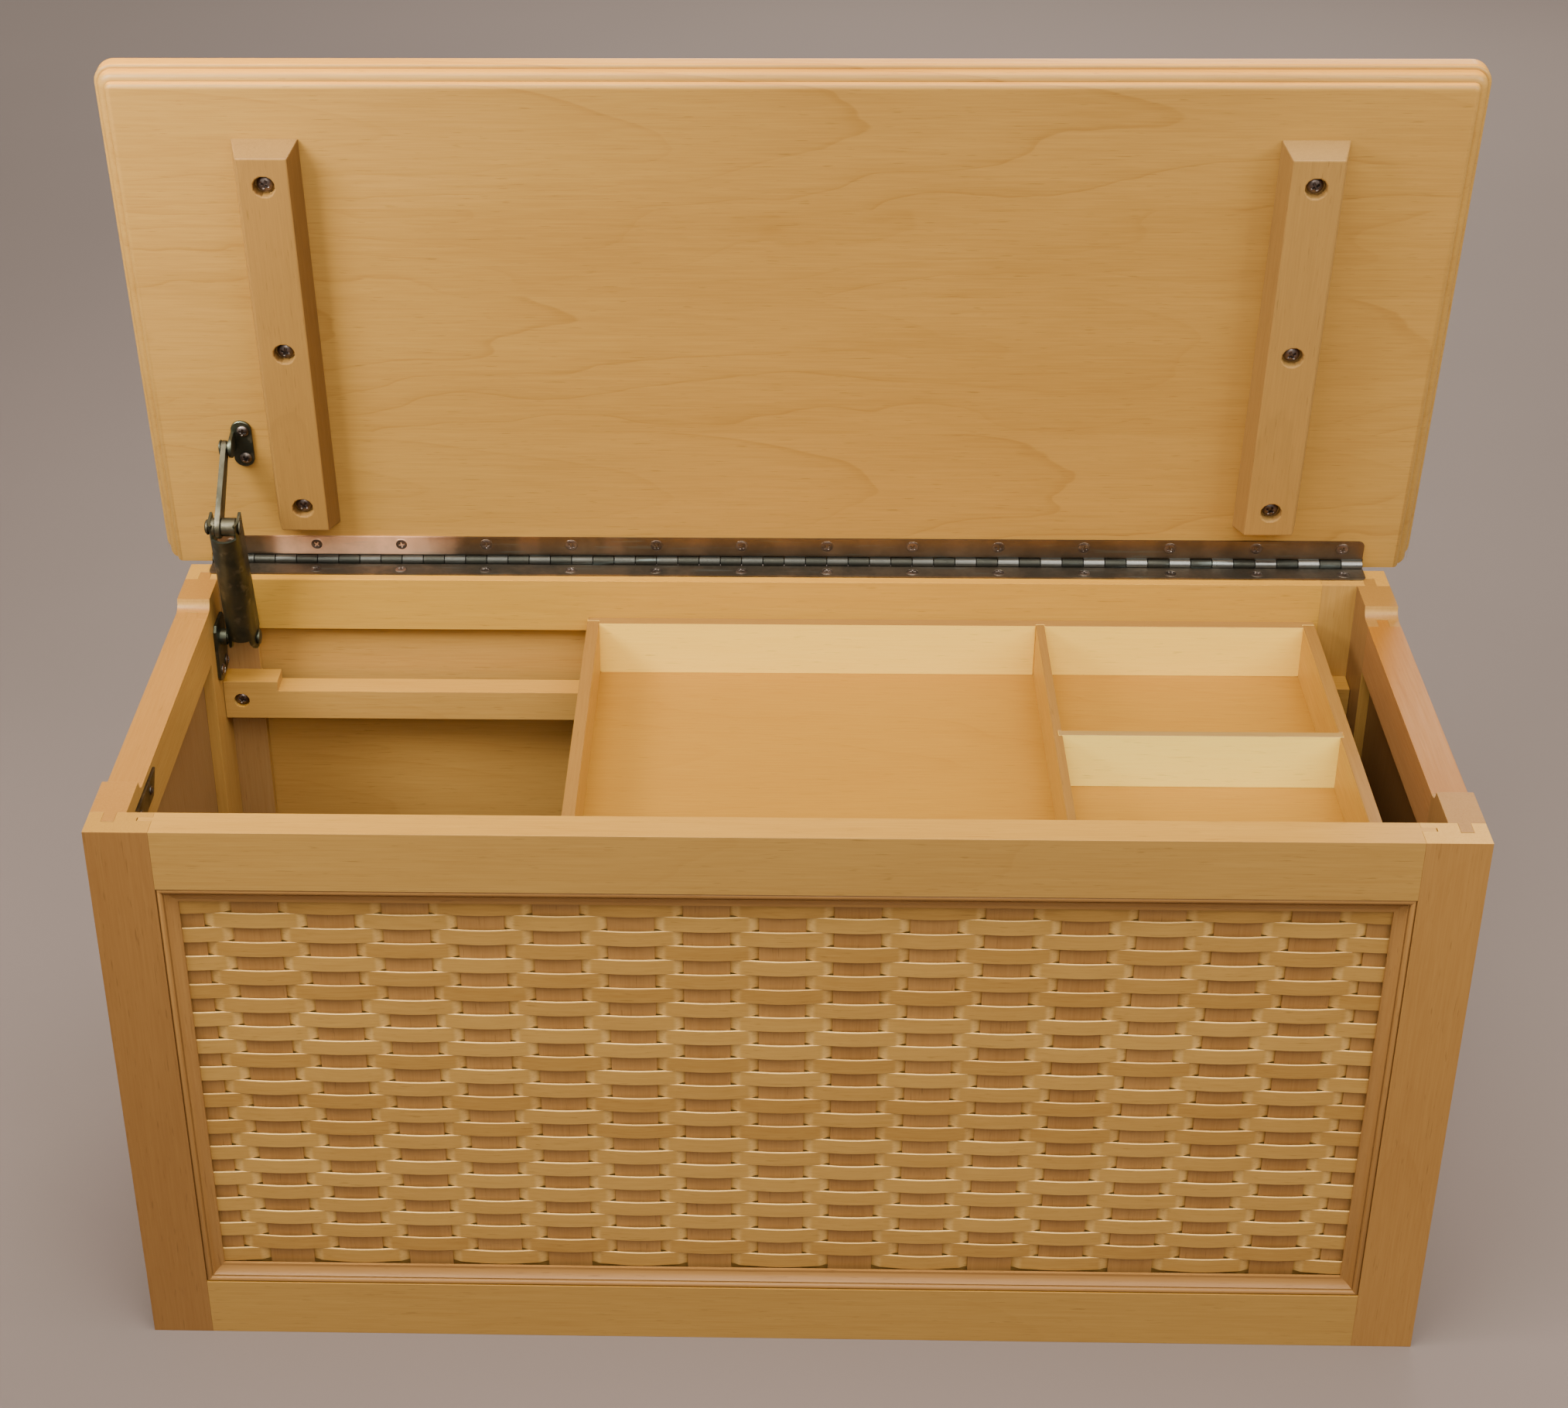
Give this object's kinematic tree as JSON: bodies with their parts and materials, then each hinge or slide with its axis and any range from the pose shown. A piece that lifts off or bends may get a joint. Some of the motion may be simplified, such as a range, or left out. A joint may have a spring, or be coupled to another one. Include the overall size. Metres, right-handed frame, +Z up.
{
  "type": "storage chest",
  "caption": "Wooden storage chest with a woven front panel, a moulded lid on a full-length hinge with a stay, and a divided tray that slides on runners.",
  "frame": {"origin": "on the floor, under the middle of the front bottom rail", "axes": "+X to the right seen from the front, +Y to the back, where the hinge is, +Z up. Rest pose: lid open on its stay, tray against its right stops."},
  "size_m": [0.744, 0.3197, 0.6524],
  "materials": {
    "frame_wood": "satin clear varnish",
    "moulding_wood": "satin clear varnish",
    "panel_wood": "satin clear varnish",
    "slat_wood": "satin clear varnish",
    "strip_wood": "satin clear varnish",
    "tray_wood": "satin clear varnish",
    "runner_wood": "satin clear varnish",
    "lid_wood": "satin clear varnish",
    "batten_wood": "satin clear varnish",
    "hinge_metal": "antique copper plate",
    "screw_metal": "dark plated",
    "stay_metal": "dark bronze plate"
  },
  "bodies": {
    "chest": {"back_bottom_rail": "frame_wood", "back_panel": "panel_wood", "back_runner": "runner_wood", "back_stile_left": "frame_wood", "back_stile_right": "frame_wood", "back_top_rail": "frame_wood", "bottom_board": "panel_wood", "catch_plate": "stay_metal", "catch_plate_screws": "screw_metal", "front_bottom_rail": "frame_wood", "front_lining": "panel_wood", "front_runner": "runner_wood", "front_stile_left": "frame_wood", "front_stile_right": "frame_wood", "front_top_rail": "frame_wood", "hinge_body_leaf": "hinge_metal", "hinge_body_screws": "screw_metal", "hinge_pin": "hinge_metal", "left_back_stile": "frame_wood", "left_bottom_rail": "frame_wood", "left_front_stile": "frame_wood", "left_panel": "panel_wood", "left_top_rail": "frame_wood", "moulding_bottom": "moulding_wood", "moulding_left": "moulding_wood", "moulding_right": "moulding_wood", "moulding_top": "moulding_wood", "right_back_stile": "frame_wood", "right_bottom_rail": "frame_wood", "right_front_stile": "frame_wood", "right_panel": "panel_wood", "right_top_rail": "frame_wood", "runner_screws": "screw_metal", "stay_base_pin": "stay_metal", "stay_base_plate": "stay_metal", "stay_base_screws": "screw_metal", "weave_slats": "slat_wood", "weave_strips": "strip_wood"},
    "lid": {"batten_screws": "screw_metal", "hinge_lid_leaf": "hinge_metal", "hinge_lid_screws": "screw_metal", "lid_batten_left": "batten_wood", "lid_batten_right": "batten_wood", "lid_panel": "lid_wood", "stay_lid_pin": "stay_metal", "stay_lid_plate": "stay_metal", "stay_lid_screws": "screw_metal"},
    "tray": {"tray_back": "tray_wood", "tray_cross_divider": "tray_wood", "tray_floor": "tray_wood", "tray_front": "tray_wood", "tray_left_end": "tray_wood", "tray_long_divider": "tray_wood", "tray_right_end": "tray_wood"},
    "stay_housing": {"stay_barrel": "stay_metal", "stay_elbow_pin": "stay_metal", "stay_housing": "stay_metal"},
    "stay_arm": {"stay_arm": "stay_metal"}
  },
  "joints": [
    {"name": "lid_hinge", "type": "hinge", "parent": "chest", "child": "lid", "pos_m": [0, 0.28897, 0.3401], "axis": [1, 0, 0], "range_deg": [0, 82.5]},
    {"name": "tray_slide", "type": "slide", "parent": "chest", "child": "tray", "axis": [1, 0, 0], "range_m": [-0.1866, 0]},
    {"name": "stay_housing_pivot", "type": "hinge", "parent": "chest", "child": "stay_housing", "pos_m": [-0.3215, 0.25248, 0.307], "axis": [1, 0, 0], "range_deg": [0, 82.5]},
    {"name": "stay_arm_pivot", "type": "hinge", "parent": "lid", "child": "stay_arm", "pos_m": [-0.3245, 0.27008, 0.42234], "axis": [1, 0, 0], "range_deg": [-82.5, 0]}
  ],
  "couplings": [
    {"joint": "stay_housing_pivot", "follows": "lid_hinge", "ratio": 1},
    {"joint": "stay_arm_pivot", "follows": "lid_hinge", "ratio": -1}
  ]
}
